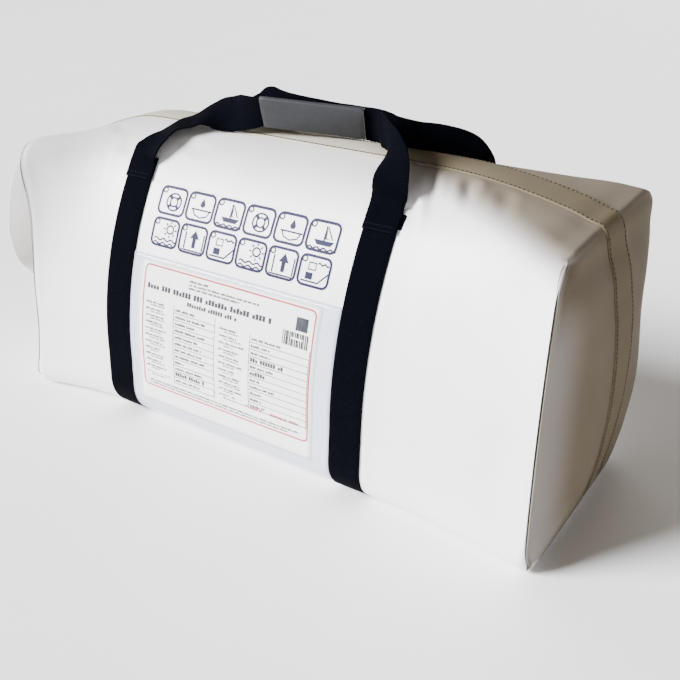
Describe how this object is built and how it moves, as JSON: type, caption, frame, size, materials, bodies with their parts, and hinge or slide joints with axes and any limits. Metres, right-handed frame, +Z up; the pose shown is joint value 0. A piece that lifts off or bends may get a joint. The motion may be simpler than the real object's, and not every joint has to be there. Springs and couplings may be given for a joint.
{
  "type": "liferaft valise",
  "caption": "Stuffed white coated-fabric valise with webbing girth straps, carrying handles with a wrap grip, an end loop and a clear document pocket",
  "frame": {"origin": "centre of the flat base, on the ground, midway between the two girth straps", "axes": "+X along the bag to its right end, -Y the front with the document pocket, +Z up"},
  "size_m": [1.0641, 0.3298, 0.4753],
  "materials": {
    "coated_fabric": "satin",
    "dark_webbing": "matte",
    "grey_wrap": "matte",
    "white_webbing": "matte",
    "clear_film": "gloss",
    "paper": "matte",
    "red_print": "matte",
    "blue_print": "matte"
  },
  "bodies": {
    "root": {"valise_body": "coated_fabric", "closure_band": "coated_fabric", "girth_strap_left": "dark_webbing", "girth_strap_right": "dark_webbing", "front_handle": "dark_webbing", "rear_handle": "dark_webbing", "handle_grip": "grey_wrap", "end_handle": "white_webbing", "document_pocket": "clear_film", "certificate": "paper", "certificate_print": "red_print", "instruction_print": "blue_print"}
  },
  "joints": []
}
